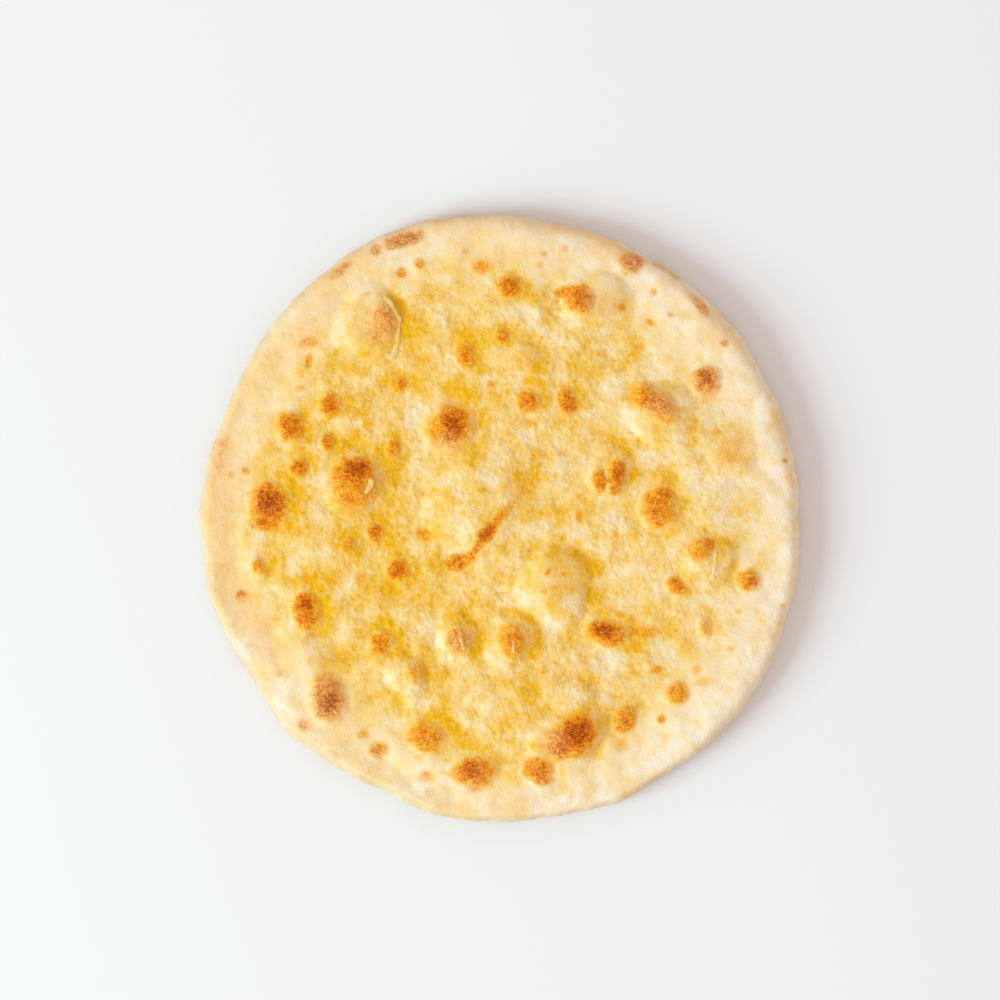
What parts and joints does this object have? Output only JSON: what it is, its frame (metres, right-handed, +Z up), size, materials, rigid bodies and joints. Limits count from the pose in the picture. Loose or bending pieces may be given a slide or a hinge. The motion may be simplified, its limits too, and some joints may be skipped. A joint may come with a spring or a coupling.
{
  "type": "cheese focaccia",
  "caption": "Round flat bread with a pale rounded rim, baked under grated cheese that has melted to a thin, blistered, toasted sheet over its middle.",
  "frame": {"origin": "on the table, under the middle of the disc", "axes": "+Z up out of the cheese; seen from above, +X to the right and +Y towards the top of the picture"},
  "size_m": [0.2996, 0.3031, 0.0196],
  "materials": {
    "baked_dough": "matt, floury",
    "baked_cheese": "oily, half gloss"
  },
  "bodies": {
    "root": {"bread": "baked_dough", "melted_cheese": "baked_cheese"}
  },
  "joints": []
}
